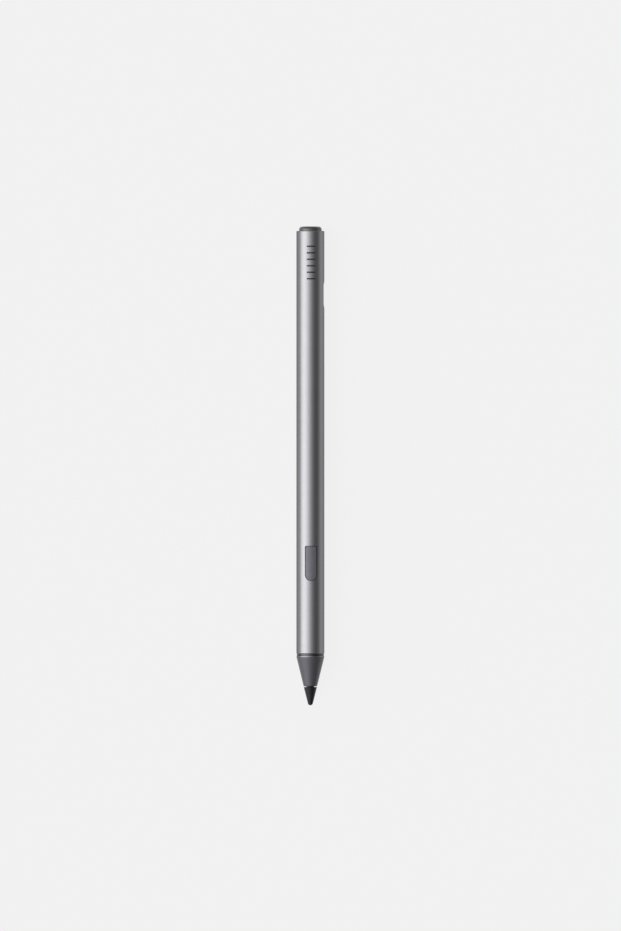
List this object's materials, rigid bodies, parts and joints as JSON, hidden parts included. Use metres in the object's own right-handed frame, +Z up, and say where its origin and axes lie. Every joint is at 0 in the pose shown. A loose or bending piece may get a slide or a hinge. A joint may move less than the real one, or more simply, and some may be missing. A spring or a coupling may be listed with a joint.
{
  "type": "active stylus pen",
  "caption": "Round rechargeable active stylus for a tablet or e-reader, with a tapered nose, a push-fit nib, a side button, a charging port and a rear button.",
  "frame": {"origin": "under the middle of the pen's length, on the surface that the barrel rests on", "axes": "+X along the pen from nib to end button, +Z up through the side button, -Y out of the charging port"},
  "size_m": [0.1626, 0.0094, 0.0096],
  "materials": {
    "anodised_grey": "satin",
    "nose_grey": "satin",
    "polished_metal": "polished",
    "nib_black": "satin",
    "key_grey": "satin",
    "end_grey": "satin",
    "steel": "satin",
    "brass": "satin",
    "gold_contact": "gloss",
    "copper": "satin",
    "black_plastic": "matte",
    "natural_plastic": "matte",
    "chip_black": "matte",
    "board_green": "satin",
    "flex_amber": "satin",
    "battery_can": "satin",
    "battery_blue": "satin",
    "foam_grey": "matte",
    "rubber_black": "matte",
    "wire_red": "satin",
    "wire_black": "satin",
    "nickel": "satin",
    "ceramic_white": "satin"
  },
  "bodies": {
    "pen_body": {"barrel": "anodised_grey", "battery_cell": "battery_can", "battery_guard_board": "board_green", "battery_lead_negative": "wire_black", "battery_lead_positive": "wire_red", "battery_pad_front": "foam_grey", "battery_pad_rear": "foam_grey", "battery_sleeve": "battery_blue", "board_screw_front": "steel", "board_screw_rear": "steel", "boost_inductor": "foam_grey", "charger_chip": "chip_black", "chassis": "black_plastic", "clock_crystal": "nickel", "controller_chip": "chip_black", "end_antenna": "ceramic_white", "end_board": "board_green", "end_board_screw": "steel", "end_clip": "steel", "end_switch": "steel", "flex_cable": "flex_amber", "flex_connector": "natural_plastic", "force_sensor": "ceramic_white", "front_bush": "natural_plastic", "front_ring": "polished_metal", "front_seal": "rubber_black", "magnet_front": "nickel", "magnet_rear": "nickel", "main_board": "board_green", "nib_ring": "polished_metal", "nose_cone": "nose_grey", "port_board": "board_green", "power_chip": "chip_black", "radio_chip": "chip_black", "return_spring": "steel", "sensor_flex": "flex_amber", "sensor_housing": "black_plastic", "sensor_pad": "rubber_black", "side_switch": "steel", "tilt_electrode": "copper", "trim_ring": "anodised_grey", "usb_contacts_lower": "gold_contact", "usb_contacts_upper": "gold_contact", "usb_shell": "nickel", "usb_tongue": "black_plastic"},
    "nib_holder": {"nib_holder": "brass"},
    "nib": {"nib": "nib_black", "nib_core": "steel"},
    "side_button": {"side_button": "key_grey"},
    "side_switch_plunger": {"side_switch_plunger": "black_plastic"},
    "end_button": {"end_button": "end_grey"},
    "end_switch_plunger": {"end_switch_plunger": "black_plastic"}
  },
  "joints": [
    {"name": "nib_press", "type": "slide", "parent": "pen_body", "child": "nib_holder", "axis": [1, 0, 0], "range_m": [0, 0.0002], "stiffness_N_per_m": 1000, "springref_m": -0.0003, "deforming": ["return_spring"]},
    {"name": "nib_pull", "type": "slide", "parent": "nib_holder", "child": "nib", "axis": [-1, 0, 0], "range_m": [0, 0.0085]},
    {"name": "side_button_press", "type": "slide", "parent": "pen_body", "child": "side_button", "axis": [0, 0, -1], "range_m": [0, 0.0003], "stiffness_N_per_m": 1000, "springref_m": -0.0003},
    {"name": "side_switch_travel", "type": "slide", "parent": "pen_body", "child": "side_switch_plunger", "axis": [0, 0, -1], "range_m": [0, 0.0003]},
    {"name": "end_button_press", "type": "slide", "parent": "pen_body", "child": "end_button", "axis": [-1, 0, 0], "range_m": [0, 0.0003], "stiffness_N_per_m": 1000, "springref_m": -0.0003},
    {"name": "end_switch_travel", "type": "slide", "parent": "pen_body", "child": "end_switch_plunger", "axis": [-1, 0, 0], "range_m": [0, 0.0003]}
  ],
  "couplings": [
    {"joint": "side_switch_travel", "follows": "side_button_press", "ratio": 1},
    {"joint": "end_switch_travel", "follows": "end_button_press", "ratio": 1}
  ]
}
